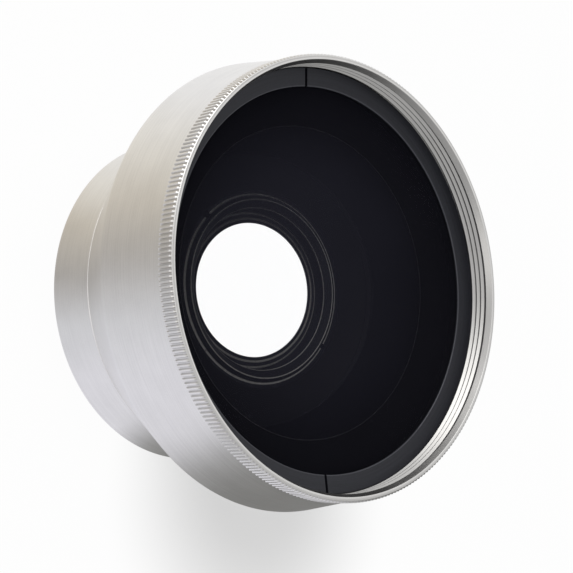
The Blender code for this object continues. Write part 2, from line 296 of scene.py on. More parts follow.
class Turning:
    """A body turned about the lens axis, ring by ring."""

    def __init__(self, columns):
        self.columns = columns
        self.form = bmesh.new()

    def ring(self, radius, height):
        if radius < mm(0.001):
            return [self.form.verts.new((0.0, 0.0, height))]
        corners = []
        for column in range(self.columns):
            angle = 2.0 * math.pi * column / self.columns
            corners.append(self.form.verts.new((radius * math.cos(angle), radius * math.sin(angle), height)))
        return corners

    def wall(self, first, second):
        """Faces between two rings of one size, or between a ring and a point on the axis."""
        count = max(len(first), len(second))
        for column in range(count):
            following = (column + 1) % count
            corners = [first[column % len(first)]]
            if len(first) > 1:
                corners.append(first[following])
            if len(second) > 1:
                corners.append(second[following])
            corners.append(second[column % len(second)])
            self.form.faces.new(corners)

    def strip(self, outline):
        """Rings along an outline, joined by walls; gives back the first and the last ring."""
        rings = [self.ring(radius, height) for radius, height in outline]
        for first, second in zip(rings, rings[1:]):
            self.wall(first, second)
        return rings[0], rings[-1]

    def body(self, outline):
        """A closed body from an outline that doesn't reach the axis."""
        first, last = self.strip(outline)
        self.wall(last, first)

    def tooth_ring(self, teeth, crest, root, height):
        """A ring of straight teeth: two corners on each crest and two in each groove."""
        corners = []
        for tooth in range(teeth):
            for share, radius in ((-0.16, crest), (0.16, crest), (0.36, root), (0.64, root)):
                angle = 2.0 * math.pi * (tooth + share) / teeth
                corners.append(
                    self.form.verts.new((radius * math.cos(angle), radius * math.sin(angle), height))
                )
        return corners

    def stitch(self, plain, teeth):
        """Faces between a plain ring and a ring with four corners for each of its corners."""
        count = len(plain)
        for column in range(count):
            here = plain[column]
            following = plain[(column + 1) % count]
            crest_start, crest_end, root_start, root_end = teeth[4 * column:4 * column + 4]
            next_crest = teeth[(4 * column + 4) % len(teeth)]
            self.form.faces.new((here, crest_start, crest_end))
            self.form.faces.new((here, crest_end, root_start))
            self.form.faces.new((here, root_start, root_end, following))
            self.form.faces.new((following, root_end, next_crest))

    def thread(self, wall, crest, low, high, pitch):
        """A V thread as one helical ridge on a wall, which runs out into it at both ends."""
        steps_per_turn = 180
        turns = (high - low) / pitch - 1.0
        steps = int(turns * steps_per_turn)
        sunk = wall + math.copysign(THREAD_SUNK, wall - crest)
        rows = []
        for step in range(steps + 1):
            angle = 2.0 * math.pi * step / steps_per_turn
            middle = low + 0.5 * pitch + pitch * step / steps_per_turn
            fade = min(1.0, 6.0 * step / steps_per_turn, 6.0 * (steps - step) / steps_per_turn)
            peak = sunk + (crest - sunk) * max(0.02, fade)
            section = (
                (sunk, -0.5 * pitch),
                (peak, -0.5 * THREAD_CREST),
                (peak, 0.5 * THREAD_CREST),
                (sunk, 0.5 * pitch),
            )
            rows.append([
                self.form.verts.new((radius * math.cos(angle), radius * math.sin(angle), middle + offset))
                for radius, offset in section
            ])
        for before, after in zip(rows, rows[1:]):
            for side in range(4):
                other = (side + 1) % 4
                self.form.faces.new((before[side], before[other], after[other], after[side]))
        self.form.faces.new(rows[0])
        self.form.faces.new(reversed(rows[-1]))

    def slots(self, angles, width, floor, inner, outer_radius, height):
        """Straight slots cut across a ring from its face down to a floor."""
        cutter = bmesh.new()
        for angle in angles:
            block = bmesh.ops.create_cube(cutter, size=1.0)["verts"]
            reach = outer_radius - inner
            bmesh.ops.scale(cutter, vec=(reach, width, height - floor), verts=block)
            bmesh.ops.translate(cutter, vec=(inner + 0.5 * reach, 0.0, 0.5 * (height + floor)), verts=block)
            turn = Quaternion((0.0, 0.0, 1.0), math.radians(angle)).to_matrix()
            bmesh.ops.rotate(cutter, cent=(0.0, 0.0, 0.0), matrix=turn, verts=block)
        mesh = bpy.data.meshes.new("slot_cutter")
        cutter.to_mesh(mesh)
        cutter.free()
        return mesh

    def piece(self, name, body, node, materials, paint=None, cutter=None):
        """The finished object: it takes the place of its node and rides on its body."""
        bmesh.ops.recalc_face_normals(self.form, faces=self.form.faces)
        if paint:
            for face in self.form.faces:
                centre = face.calc_center_median()
                face.material_index = paint(math.hypot(centre.x, centre.y), centre.z)
        mesh = bpy.data.meshes.new(name)
        self.form.to_mesh(mesh)
        self.form.free()
        for material in materials:
            mesh.materials.append(material)
        item = bpy.data.objects.new(name, mesh)
        bpy.context.scene.collection.objects.link(item)
        if cutter:
            cut_slots(item, cutter)
        mesh = item.data
        mesh.shade_smooth()
        mesh.set_sharp_from_angle(angle=SMOOTH_ANGLE)
        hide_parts(node)
        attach(item, body)


def cut_slots(item, cutter_mesh):
    """Cut the blocks of a mesh out of an object."""
    cutter = bpy.data.objects.new("slot_cutter", cutter_mesh)
    bpy.context.scene.collection.objects.link(cutter)
    boolean = item.modifiers.new("slots", "BOOLEAN")
    boolean.operation = "DIFFERENCE"
    boolean.solver = "EXACT"
    boolean.object = cutter
    bpy.context.view_layer.update()
    for other in bpy.context.selected_objects:
        other.select_set(False)
    item.select_set(True)
    bpy.context.view_layer.objects.active = item
    bpy.ops.object.modifier_apply(modifier=boolean.name)
    bpy.data.objects.remove(cutter)
    bpy.data.meshes.remove(cutter_mesh)


class Signal:
    """One output socket of a shader tree. Arithmetic on it adds Math nodes."""

    def __init__(self, sheet, socket):
        self.sheet = sheet
        self.socket = socket

    def also(self, output):
        """Another output of the same node."""
        return Signal(self.sheet, self.socket.node.outputs[output])

    def __add__(self, other):
        return self.sheet.maths("ADD", self, other)

    def __radd__(self, other):
        return self.sheet.maths("ADD", other, self)

    def __sub__(self, other):
        return self.sheet.maths("SUBTRACT", self, other)

    def __rsub__(self, other):
        return self.sheet.maths("SUBTRACT", other, self)

    def __mul__(self, other):
        return self.sheet.maths("MULTIPLY", self, other)

    def __rmul__(self, other):
        return self.sheet.maths("MULTIPLY", other, self)

    def __truediv__(self, other):
        return self.sheet.maths("DIVIDE", self, other)


class Sheet:
    """The node tree of a material or of the world."""

    def __init__(self, owner):
        owner.use_nodes = True
        self.tree = owner.node_tree
        self.tree.nodes.clear()

    def node(self, kind, settings=None, inputs=None, output=0):
        """Any node: its settings are set first, then the values or links of its sockets."""
        node = self.tree.nodes.new(kind)
        for name, value in (settings or {}).items():
            if name == "stops":
                self.set_stops(node.color_ramp, value)
            else:
                setattr(node, name, value)
        for name, value in (inputs or {}).items():
            if isinstance(value, Signal):
                self.tree.links.new(value.socket, node.inputs[name])
            else:
                node.inputs[name].default_value = value
        return Signal(self, node.outputs[output]) if node.outputs else node

    def set_stops(self, ramp, stops):
        while len(ramp.elements) < len(stops):
            ramp.elements.new(1.0)
        for element, (place, colour) in zip(ramp.elements, stops):
            element.position = place
            element.color = (*colour, 1.0)

    def maths(self, operation, *operands):
        return self.node("ShaderNodeMath", {"operation": operation}, dict(enumerate(operands)))

    def mix(self, factor, first, second):
        """Two colours mixed by a factor."""
        return self.node(
            "ShaderNodeMix",
            {"data_type": "RGBA"},
            {0: factor, 6: self.colour(first), 7: self.colour(second)},
            output=2,
        )

    def colour(self, value):
        return value if isinstance(value, Signal) else (*value[:3], 1.0)

    def rise(self, value, low, high):
        """Smooth step from 0 at low to 1 at high."""
        return self.node(
            "ShaderNodeMapRange",
            {"interpolation_type": "SMOOTHSTEP"},
            {"Value": value, "From Min": low, "From Max": high},
        )

    def noise(self, vector, scale, detail, roughness):
        return self.node(
            "ShaderNodeTexNoise",
            {},
            {"Vector": vector, "Scale": scale, "Detail": detail, "Roughness": roughness},
            output="Fac",
        )

    def lathe_coordinates(self):
        """Position in millimetres, radius, height, and a vector that runs along turning marks."""
        place = self.node("ShaderNodeTexCoord", output="Object")
        place = self.node("ShaderNodeVectorMath", {"operation": "SCALE"}, {0: place, "Scale": 1000.0})
        split = self.node("ShaderNodeSeparateXYZ", {}, {0: place}, "X")
        x, y, z = split, split.also("Y"), split.also("Z")
        radius = self.maths("SQRT", x * x + y * y)
        along = self.node(
            "ShaderNodeCombineXYZ",
            {},
            {"X": x / radius * 2.0, "Y": y / radius * 2.0, "Z": radius * 0.9 + z * 1.3},
        )
        return place, radius, z, along

    def stretch(self, vector, scale):
        return self.node("ShaderNodeVectorMath", {"operation": "MULTIPLY"}, {0: vector, 1: scale})

    def bump(self, height, distance):
        return self.node("ShaderNodeBump", {}, {"Height": height, "Distance": distance})

    def output(self, shader, kind="ShaderNodeOutputMaterial"):
        self.node(kind, {}, {"Surface": shader})


def satin_aluminium(name, tone, grooves=None):
    """Clear anodised aluminium with fine turning marks, darker in the deep grooves of the knurl."""
    material = bpy.data.materials.new(name)
    sheet = Sheet(material)
    place, radius, height, along = sheet.lathe_coordinates()
    marks = sheet.noise(sheet.stretch(along, (1.0, 1.0, 7.0)), 1.0, 4.0, 0.6)
    mottle = sheet.noise(place, 0.22, 3.0, 0.55)
    grain = sheet.noise(place, 9.0, 2.0, 0.6)
    shade = 0.5 * marks + 0.3 * mottle + 0.2 * grain
    dark = [channel * 0.93 for channel in tone]
    light = [min(1.0, channel * 1.05) for channel in tone]
    colour = sheet.mix(sheet.rise(shade, 0.35, 0.65), dark, light)
    if grooves:
        # Darker towards a grey in the knurl's deep grooves
        root, crest, low = grooves
        deep = (1.0 - sheet.rise(radius, root, crest)) * sheet.rise(height, low, low + 0.05)
        outside = sheet.rise(radius, root - 0.3, root - 0.25)
        colour = sheet.mix(deep * outside * 0.25, colour, (0.16, 0.155, 0.15))
    shader = sheet.node(
        "ShaderNodeBsdfPrincipled",
        {},
        {
            "Base Color": colour,
            "Metallic": 1.0,
            "Roughness": 0.27 + 0.12 * shade,
            "Anisotropic": 0.25,
            "Normal": sheet.bump(marks + 0.5 * grain, mm(0.003)),
        },
    )
    sheet.output(shader)
    return material


def black_anodised(name, tone, wear_and_glint_colour, wear_radius=None, roughness=0.42, painted_glint_edges=(), shine=0.0):
    """Dyed anodised aluminium, faintly turned; metal shows through where a crest is worn.

    The listed edges, each (radius, height, width) in millimetres, are painted in the lighter colour and made
    glossier by shine: painted glints that stand in for the light those edges catch.
    """
    material = bpy.data.materials.new(name)
    sheet = Sheet(material)
    place, radius, height, along = sheet.lathe_coordinates()
    marks = sheet.noise(sheet.stretch(along, (1.0, 1.0, 9.0)), 1.0, 3.0, 0.6)
    dust = sheet.noise(place, 3.1, 4.0, 0.7)
    dark = [channel * 0.8 for channel in tone]
    light = [channel * 1.35 for channel in tone]
    colour = sheet.mix(sheet.rise(marks * 0.6 + dust * 0.4, 0.35, 0.68), dark, light)
    dullness = roughness + 0.16 * dust
    if wear_radius:
        worn = sheet.rise(radius, wear_radius - 0.06, wear_radius) * sheet.rise(dust, 0.42, 0.6)
        colour = sheet.mix(worn * 0.7, colour, wear_and_glint_colour)
    # Painted glint: each listed edge is painted in the lighter colour and made glossier
    for edge_radius, edge_height, width in painted_glint_edges:
        across = sheet.maths("ABSOLUTE", radius - edge_radius) + sheet.maths("ABSOLUTE", height - edge_height)
        bare = 1.0 - sheet.rise(across, 0.6 * width, width)
        colour = sheet.mix(bare * sheet.rise(dust, 0.2, 0.45), colour, wear_and_glint_colour)
        dullness = dullness - shine * bare
    shader = sheet.node(
        "ShaderNodeBsdfPrincipled",
        {},
        {
            "Base Color": colour,
            "Metallic": 0.35,
            "Roughness": dullness,
            "Normal": sheet.bump(marks + 0.4 * dust, mm(0.004)),
        },
    )
    sheet.output(shader)
    return material


def matt_black(name, tone):
    """Dull black paint with a fine, slightly uneven skin."""
    material = bpy.data.materials.new(name)
    sheet = Sheet(material)
    place = sheet.lathe_coordinates()[0]
    skin = sheet.noise(place, 5.0, 4.0, 0.65)
    dark = [channel * 0.8 for channel in tone]
    light = [channel * 1.3 for channel in tone]
    colour = sheet.mix(sheet.rise(skin, 0.3, 0.7), dark, light)
    shader = sheet.node(
        "ShaderNodeBsdfPrincipled",
        {},
        {
            "Base Color": colour,
            "Roughness": 0.6 + 0.2 * skin,
            "Specular IOR Level": 0.12,
            "Normal": sheet.bump(skin, mm(0.0015)),
        },
    )
    sheet.output(shader)
    return material


def coated_glass(name, coating, veil=0.0):
    """Clear coated glass, so well coated that only a thin haze and a little dust on it catch the light."""
    material = bpy.data.materials.new(name)
    sheet = Sheet(material)
    place = sheet.lathe_coordinates()[0]
    specks = sheet.rise(sheet.noise(place, 4.0, 5.0, 0.75), 0.66, 0.8)
    smear = sheet.noise(place, 0.06, 2.0, 0.5)
    clear = sheet.node(
        "ShaderNodeBsdfRefraction", {}, {"Color": (1.0, 1.0, 1.0, 1.0), "Roughness": 0.0, "IOR": 1.52}
    )
    film = sheet.node(
        "ShaderNodeBsdfPrincipled",
        {},
        {"Base Color": (*coating, 1.0), "Roughness": 0.45, "Specular IOR Level": 0.5},
    )
    cover = veil * (0.8 + 0.4 * smear) + GLASS_DUST * specks
    dusty = sheet.node("ShaderNodeMixShader", {}, {0: cover, 1: clear, 2: film})
    lit_through = sheet.node("ShaderNodeLightPath", output="Is Shadow Ray")
    passing = sheet.node("ShaderNodeBsdfTransparent", {}, {"Color": (0.93, 0.93, 0.93, 1.0)})
    sheet.output(sheet.node("ShaderNodeMixShader", {}, {0: lit_through, 1: dusty, 2: passing}))
    return material


def ground_glass(name):
    """The fine bevel of a glass, left pale and frosted by the grinding."""
    material = bpy.data.materials.new(name)
    sheet = Sheet(material)
    place = sheet.lathe_coordinates()[0]
    frost = sheet.noise(place, 7.0, 3.0, 0.7)
    colour = sheet.mix(sheet.rise(frost, 0.35, 0.6), (0.03, 0.03, 0.034), (0.07, 0.07, 0.08))
    frosted = {"Base Color": colour, "Roughness": 0.3 + 0.2 * frost}
    sheet.output(sheet.node("ShaderNodeBsdfPrincipled", {}, frosted))
    return material


class LensSizes(bpy.types.PropertyGroup):
    """Sizes of the turned pieces that a user would change."""

    columns: IntProperty(
        name="Columns", description="Corners round each turned piece", default=300, min=60, max=600
    )
    knurl_depth: FloatProperty(
        name="Knurl depth", description="Depth of the grooves in the rim", default=mm(0.22), unit="LENGTH"
    )
    thread_pitch: FloatProperty(
        name="Thread pitch", description="Pitch of all three threads", default=mm(0.75), unit="LENGTH"
    )
    edge_break: FloatProperty(
        name="Edge break", description="Rounding of machined edges", default=mm(0.08), unit="LENGTH"
    )
    parting_gap: FloatProperty(
        name="Parting gap", description="Dark line between the two sections", default=mm(0.14), unit="LENGTH"
    )


class LensFinishes(bpy.types.PropertyGroup):
    """Colours of the finishes."""

    barrel: FloatVectorProperty(
        name="Barrel", description="Satin aluminium of the barrel", subtype="COLOR",
        default=(0.80, 0.79, 0.775)
    )
    tube: FloatVectorProperty(
        name="Tube", description="Satin aluminium of the macro section", subtype="COLOR",
        default=(0.79, 0.78, 0.765)
    )
    anodised: FloatVectorProperty(
        name="Anodised", description="Black anodised rings", subtype="COLOR",
        default=(0.0185, 0.0195, 0.0265)
    )
    paint: FloatVectorProperty(
        name="Paint", description="Black paint inside", subtype="COLOR",
        default=(0.002, 0.002, 0.0028)
    )
    coating: FloatVectorProperty(
        name="Coating", description="Colour of the haze on the coated glass", subtype="COLOR",
        default=(0.55, 0.55, 0.8)
    )


class LensStage(bpy.types.PropertyGroup):
    """Camera and lamps."""

    camera_place: FloatVectorProperty(
        name="Camera place", description="Where the camera stands", subtype="TRANSLATION",
        default=(0.0, mm(-160.95), mm(196.82))
    )
    camera_aim: FloatVectorProperty(
        name="Camera aim", description="What the camera looks at", subtype="TRANSLATION",
        default=(mm(0.19), 0.0, mm(23.95))
    )
    camera_roll: FloatProperty(
        name="Camera roll", description="Turn of the picture about the line of sight", subtype="ANGLE",
        default=math.radians(81.82)
    )
    focal_length: FloatProperty(
        name="Focal length", description="On a sensor 36 mm wide", default=119.4, unit="CAMERA"
    )
    key_radiance: FloatProperty(
        name="Key light", description="Brightness of the large soft light", default=1.6
    )
    fill_radiance: FloatProperty(
        name="Fill light", description="Brightness of the soft light on the camera's side", default=0.8
    )


def wide_barrel_outline(sizes):
    """The barrel below its knurl, then its inside from the joint up to the lip."""
    edge = sizes.edge_break
    rim = top("front_barrel")
    parting = bottom("front_barrel") - SEAT_CLEARANCE
    knurl_bottom = rim - RIM_CHAMFER - KNURL_HEIGHT
    barrel_top_radius = LIP_RADIUS + RIM_CHAMFER - KNURL_PROUD
    foot_radius = outer("front_barrel") + FOOT_OVERSIZE
    foot = rim - FOOT_DEPTH
    tube_radius = outer("macro_barrel")
    joint_top = parting + JOINT_LENGTH + SEAT_CLEARANCE
    joint_wall = JOINT_RADIUS + SEAT_CLEARANCE + THREAD_DEPTH
    baffle_bore = outer("light_baffle") + SEAT_CLEARANCE
    baffle_seat = top("macro_barrel") + SEAT_CLEARANCE
    glass_seat = bottom("front_element") - SEAT_CLEARANCE
    glass_bore = outer("front_element") + SEAT_CLEARANCE
    thread_floor = bottom("front_retaining_ring") - SEAT_CLEARANCE
    corners = [
        (barrel_top_radius, knurl_bottom - KNURL_PROUD),
        (foot_radius, foot, FOOT_ROUNDING),
        (tube_radius + 0.5 * sizes.parting_gap, parting + sizes.parting_gap, edge),
        (joint_wall, parting + sizes.parting_gap),
        (joint_wall, joint_top),
        (NECK_RADIUS + SEAT_CLEARANCE, joint_top),
        (NECK_RADIUS + SEAT_CLEARANCE, baffle_seat),
        (baffle_bore, baffle_seat),
        (baffle_bore, glass_seat),
        (glass_bore, glass_seat),
        (glass_bore, thread_floor),
        (FILTER_WALL, thread_floor),
        (FILTER_WALL, rim - LIP_SLOPE - LIP_STEP),
        (FILTER_CREST, rim - LIP_SLOPE, 0.5 * edge),
        (LIP_RADIUS - LIP_FLAT, rim, edge),
        (LIP_RADIUS, rim, edge),
        (LIP_RADIUS + RIM_CHAMFER - sizes.knurl_depth, rim - RIM_CHAMFER + sizes.knurl_depth),
    ]
    return rounded(corners)


class LENS_OT_front_barrel(bpy.types.Operator):
    """Turn the flared barrel with its knurled rim, filter thread and joint thread"""

    bl_idname = "lens.front_barrel"
    bl_label = "Front Barrel"

    def execute(self, context):
        sizes = context.scene.lens_sizes
        finishes = context.scene.lens_finishes
        rim = top("front_barrel")
        parting = bottom("front_barrel") - SEAT_CLEARANCE
        crest = LIP_RADIUS + RIM_CHAMFER
        root = crest - sizes.knurl_depth
        knurl_bottom = rim - RIM_CHAMFER - KNURL_HEIGHT
        turning = Turning(sizes.columns)
        first, last = turning.strip(wide_barrel_outline(sizes))
        rows = (
            (root, root, rim - RIM_CHAMFER + sizes.knurl_depth - HAIR),
            (crest, root, rim - RIM_CHAMFER),
            (crest, root, knurl_bottom),
            (crest - KNURL_PROUD, crest - KNURL_PROUD, knurl_bottom - KNURL_PROUD + HAIR),
        )
        teeth = [turning.tooth_ring(sizes.columns, *row) for row in rows]
        turning.stitch(last, teeth[0])
        for upper, lower in zip(teeth, teeth[1:]):
            turning.wall(upper, lower)
        turning.stitch(first, teeth[-1])
        turning.thread(
            FILTER_WALL, FILTER_CREST, rim - FILTER_THREAD_LOW, rim - FILTER_THREAD_HIGH,
            sizes.thread_pitch,
        )
        turning.thread(
            JOINT_RADIUS + SEAT_CLEARANCE + THREAD_DEPTH, JOINT_RADIUS + SEAT_CLEARANCE,
            parting + JOINT_THREAD_START, parting + JOINT_LENGTH, sizes.thread_pitch,
        )
        grooves = (in_mm(root), in_mm(crest), in_mm(knurl_bottom))
        silver = satin_aluminium("barrel_aluminium", finishes.barrel, grooves)
        shaded_thread = satin_aluminium("thread_aluminium_painted_shade", [THREAD_PAINTED_SHADE * channel for channel in finishes.barrel])
        thread_floor = bottom("front_retaining_ring") - SEAT_CLEARANCE

        # Faces inside the lip, from its slope down to the ring, take the darker aluminium, which is painted
        # shade
        def paint(reach, level):
            return 1 if reach < LIP_RADIUS - LIP_FLAT and level > thread_floor else 0

        turning.piece(
            "front_barrel_turned", "wide_section", "front_barrel",
            [silver, shaded_thread], paint,
        )
        return {"FINISHED"}


class LENS_OT_front_ring(bpy.types.Operator):
    """Turn the dished ring that holds the front glass, and cut its two spanner slots"""

    bl_idname = "lens.front_ring"
    bl_label = "Front Retaining Ring"

    def execute(self, context):
        sizes = context.scene.lens_sizes
        finishes = context.scene.lens_finishes
        edge = sizes.edge_break
        face = top("front_retaining_ring") - RING_SUNK
        under = face - RING_DISH - RING_WALL
        bore = outer("front_element") + SEAT_CLEARANCE
        fall = sag(FRONT_CURVE, bore) - sag(FRONT_CURVE, RING_OPENING)
        corners = [
            (RING_RADIUS, face, edge),
            (RING_RADIUS, bottom("front_retaining_ring")),
            (bore, bottom("front_retaining_ring")),
            (bore, under - fall),
            (RING_OPENING, under),
            (RING_OPENING, face - RING_DISH, 1.5 * edge),
        ]
        turning = Turning(sizes.columns)
        turning.body(rounded(corners))
        floor = face - RING_DISH - SLOT_DEPTH
        cutter = turning.slots(
            SLOT_ANGLES, SLOT_WIDTH, floor, RING_OPENING - CUTTER_OVERRUN, RING_RADIUS + CUTTER_OVERRUN,
            face + CUTTER_ABOVE,
        )
        # Painted glint: the opening's edge is painted lighter than the dye and made glossier, all round
        edges = ((in_mm(RING_OPENING), in_mm(face - RING_DISH), 0.2),)
        black = black_anodised(
            "ring_anodised", finishes.anodised, (0.06, 0.062, 0.075), roughness=0.36,
            painted_glint_edges=edges, shine=0.2,
        )
        turning.piece(
            "front_ring_turned", "wide_section", "front_retaining_ring", [black],
            cutter=cutter,
        )
        return {"FINISHED"}


class LENS_OT_front_glass(bpy.types.Operator):
    """Grind the deep front glass, with its blackened edge and rear rim"""

    bl_idname = "lens.front_glass"
    bl_label = "Front Glass"

    def execute(self, context):
        sizes = context.scene.lens_sizes
        finishes = context.scene.lens_finishes
        radius = outer("front_element")
        height = top("front_element")
        hollow = height - FRONT_CENTRE_THICKNESS
        rear = bottom("front_element")
        outline = dome(FRONT_CURVE, radius - GLASS_CHAMFER, height + GLASS_RISE, GLASS_STEPS)
        outline.append((radius, outline[-1][1] - GLASS_CHAMFER))
        outline.append((radius, rear + GLASS_CHAMFER))
        outline.append((radius - GLASS_CHAMFER, rear))
        outline.append((REAR_BOWL_RADIUS + BOWL_BEVEL, rear))
        bowl = []
        for step in range(GLASS_STEPS + 1):
            reach = REAR_BOWL_RADIUS * math.sin(0.5 * math.pi * step / GLASS_STEPS)
            bowl.append((reach, hollow - sag(REAR_CURVE, reach) + BOWL_RISE))
        outline.extend(reversed(bowl))
        turning = Turning(sizes.columns)
        turning.strip(outline)
        glass = coated_glass("front_coated_glass", finishes.coating, FRONT_VEIL)
        edge = matt_black("glass_edge_black", finishes.paint)
        ground = ground_glass("glass_bevel")

        def paint(reach, level):
            if level > rear + 2.0 * GLASS_CHAMFER and reach < radius - GLASS_CHAMFER - HAIR:
                return 0
            if REAR_BOWL_RADIUS < reach < REAR_BOWL_RADIUS + BOWL_BEVEL:
                return 2
            return 1 if reach > REAR_BOWL_RADIUS else 0

        turning.piece(
            "front_glass_ground", "front_glass", "front_element", [glass, edge, ground], paint
        )
        return {"FINISHED"}


class LENS_OT_light_baffle(bpy.types.Operator):
    """Turn the black funnel behind the front glass"""

    bl_idname = "lens.light_baffle"
    bl_label = "Light Baffle"

    def execute(self, context):
        sizes = context.scene.lens_sizes
        finishes = context.scene.lens_finishes
        radius = outer("light_baffle")
        corners = [
            (radius, top("light_baffle")),
            (radius, bottom("light_baffle")),
            (BAFFLE_BOTTOM_RADIUS, bottom("light_baffle"), sizes.edge_break),
            (BAFFLE_TOP_RADIUS, top("light_baffle"), sizes.edge_break),
        ]
        turning = Turning(sizes.columns)
        turning.body(rounded(corners))
        black = matt_black("baffle_black", finishes.paint)
        turning.piece("light_baffle_turned", "wide_section", "light_baffle", [black])
        return {"FINISHED"}


class LENS_OT_macro_barrel(bpy.types.Operator):
    """Turn the tube of the macro section, its joint thread, blackened bore and stop"""

    bl_idname = "lens.macro_barrel"
    bl_label = "Macro Barrel"

    def execute(self, context):
        sizes = context.scene.lens_sizes
        finishes = context.scene.lens_finishes
        edge = sizes.edge_break
        radius = outer("macro_barrel")
        neck_top = top("macro_barrel")
        rear = bottom("macro_barrel")
        parting = bottom("front_barrel") - SEAT_CLEARANCE
        joint_top = parting + JOINT_LENGTH
        joint_wall = JOINT_RADIUS - THREAD_DEPTH
        ledge = bottom("macro_rear_glass") - SEAT_CLEARANCE
        mount_bore = outer("mount_ring") + SEAT_CLEARANCE
        corners = [
            (NECK_RADIUS, neck_top, edge),
            (NECK_RADIUS, joint_top),
            (joint_wall, joint_top, edge),
            (joint_wall, parting),
            (radius, parting, 1.5 * edge),
            (radius, rear, 2.0 * edge),
            (mount_bore, rear, edge),
            (mount_bore, ledge - LEDGE_HEIGHT),
            (MOUNT_OPENING, ledge - LEDGE_HEIGHT),
            (STOP_RADIUS, ledge - STOP_EDGE),
            (STOP_RADIUS, ledge),
            (LEDGE_STEPS[0], ledge, 0.5 * edge),
            (LEDGE_STEPS[0] + LEDGE_STEP_SLOPE, ledge + LEDGE_STEP_HEIGHT, 0.5 * edge),
            (LEDGE_STEPS[1], ledge + LEDGE_STEP_HEIGHT, 0.5 * edge),
            (LEDGE_STEPS[1] + LEDGE_STEP_SLOPE, ledge, 0.5 * edge),
            (MACRO_BORE, ledge),
            (MACRO_BORE, neck_top, edge),
        ]
        turning = Turning(sizes.columns)
        turning.body(rounded(corners))
        turning.thread(
            joint_wall, JOINT_RADIUS, parting + NECK_THREAD_START, joint_top, sizes.thread_pitch
        )
        silver = satin_aluminium("tube_aluminium", finishes.tube)
        # Painted glints: the ledge's two step edges are drawn as bright aluminium lines
        step_top = in_mm(ledge + LEDGE_STEP_HEIGHT)
        black = black_anodised(
            "bore_anodised", [BORE_TONE * channel for channel in finishes.anodised], finishes.barrel,
            roughness=0.4, painted_glint_edges=[(in_mm(reach), step_top, 0.32) for reach in LEDGE_STEPS],
        )

        def paint(reach, level):
            in_bore = reach < MACRO_BORE + 2.0 * HAIR
            in_mount = reach < mount_bore - 5.0 * HAIR and level < ledge
            return 1 if in_bore or in_mount else 0

        turning.piece(
            "macro_barrel_turned", "macro_section", "macro_barrel",
            [silver, black], paint,
        )
        return {"FINISHED"}


def macro_lens(name, node, front_curve, columns, coating):
    """One macro glass: domed in front, slightly hollow behind, with a blackened edge."""
    radius = outer(node)
    height = top(node)
    rear = bottom(node)
    flat = radius - MACRO_GLASS_CHAMFER
    outline = dome(front_curve, flat, height, MACRO_GLASS_STEPS)
    outline.append((radius, outline[-1][1] - MACRO_GLASS_CHAMFER))
    outline.append((radius, rear + MACRO_GLASS_CHAMFER))
    hollow = rear + sag(MACRO_HOLLOW, flat)
    outline.extend(reversed(dome(MACRO_HOLLOW, flat, hollow, MACRO_GLASS_STEPS)))
    turning = Turning(columns)
    turning.strip(outline)
    glass = coated_glass(name + "_glass", coating)
    edge = matt_black(name + "_edge", MACRO_EDGE_BLACK)

    def paint(reach, level):
        return 1 if reach > radius - MACRO_GLASS_CHAMFER - HAIR else 0

    turning.piece(name, "macro_section", node, [glass, edge], paint)


class LENS_OT_macro_glasses(bpy.types.Operator):
    """Grind the two macro glasses and turn the spacer and the slotted ring that hold them"""

    bl_idname = "lens.macro_glasses"
    bl_label = "Macro Glasses and Rings"

    def execute(self, context):
        sizes = context.scene.lens_sizes
        finishes = context.scene.lens_finishes
        edge = sizes.edge_break
        macro_lens(
            "macro_front_lens_ground", "macro_front_glass", MACRO_FRONT_CURVE,
            sizes.columns, finishes.coating,
        )
        macro_lens(
            "macro_rear_lens_ground", "macro_rear_glass", MACRO_REAR_CURVE,
            sizes.columns, finishes.coating,
        )
        radius = outer("macro_spacer_ring")
        opening = radius - SPACER_WIDTH
        low = bottom("macro_spacer_ring")
        high = top("macro_spacer_ring")
        rise = sag(MACRO_REAR_CURVE, radius) - sag(MACRO_REAR_CURVE, opening)
        turning = Turning(sizes.columns)
        inner_low = min(low + rise, high - SPACER_LEAST)
        turning.body([(radius, high), (radius, low), (opening, inner_low), (opening, high)])
        black = black_anodised("spacer_anodised", finishes.anodised, finishes.barrel)
        turning.piece("macro_spacer_turned", "macro_section", "macro_spacer_ring", [black])

        face = top("macro_retaining_ring")
        radius = outer("macro_retaining_ring")
        corners = [
            (radius, face, edge),
            (radius, bottom("macro_retaining_ring")),
            (MACRO_RING_OPENING, face - MACRO_RING_DISH - MACRO_RING_WALL, 0.5 * edge),
            (MACRO_RING_OPENING, face - MACRO_RING_DISH, 0.5 * edge),
            (MACRO_SHOULDER_RADIUS, face + MACRO_SHOULDER_HEIGHT, edge),
            (radius - MACRO_RING_FLAT, face, 0.5 * edge),
        ]
        turning = Turning(sizes.columns)
        turning.body(rounded(corners))
        cutter = turning.slots(
            MACRO_SLOT_ANGLES, MACRO_SLOT_WIDTH, face - MACRO_SLOT_DEPTH,
            radius - MACRO_RING_FLAT - CUTTER_OVERRUN, radius + CUTTER_OVERRUN, face + CUTTER_ABOVE,
        )
        # Painted glints: the ring's three edges are drawn as bright aluminium lines
        painted_glint_edges = (
            (in_mm(radius - MACRO_RING_FLAT), in_mm(face), 0.22),
            (in_mm(MACRO_SHOULDER_RADIUS), in_mm(face + MACRO_SHOULDER_HEIGHT), 0.2),
            (in_mm(MACRO_RING_OPENING), in_mm(face - MACRO_RING_DISH), 0.18),
        )
        black = black_anodised(
            "macro_ring_anodised", finishes.anodised, finishes.barrel, roughness=0.3, painted_glint_edges=painted_glint_edges
        )
        turning.piece(
            "macro_ring_turned", "macro_section", "macro_retaining_ring", [black],
            cutter=cutter,
        )
        return {"FINISHED"}


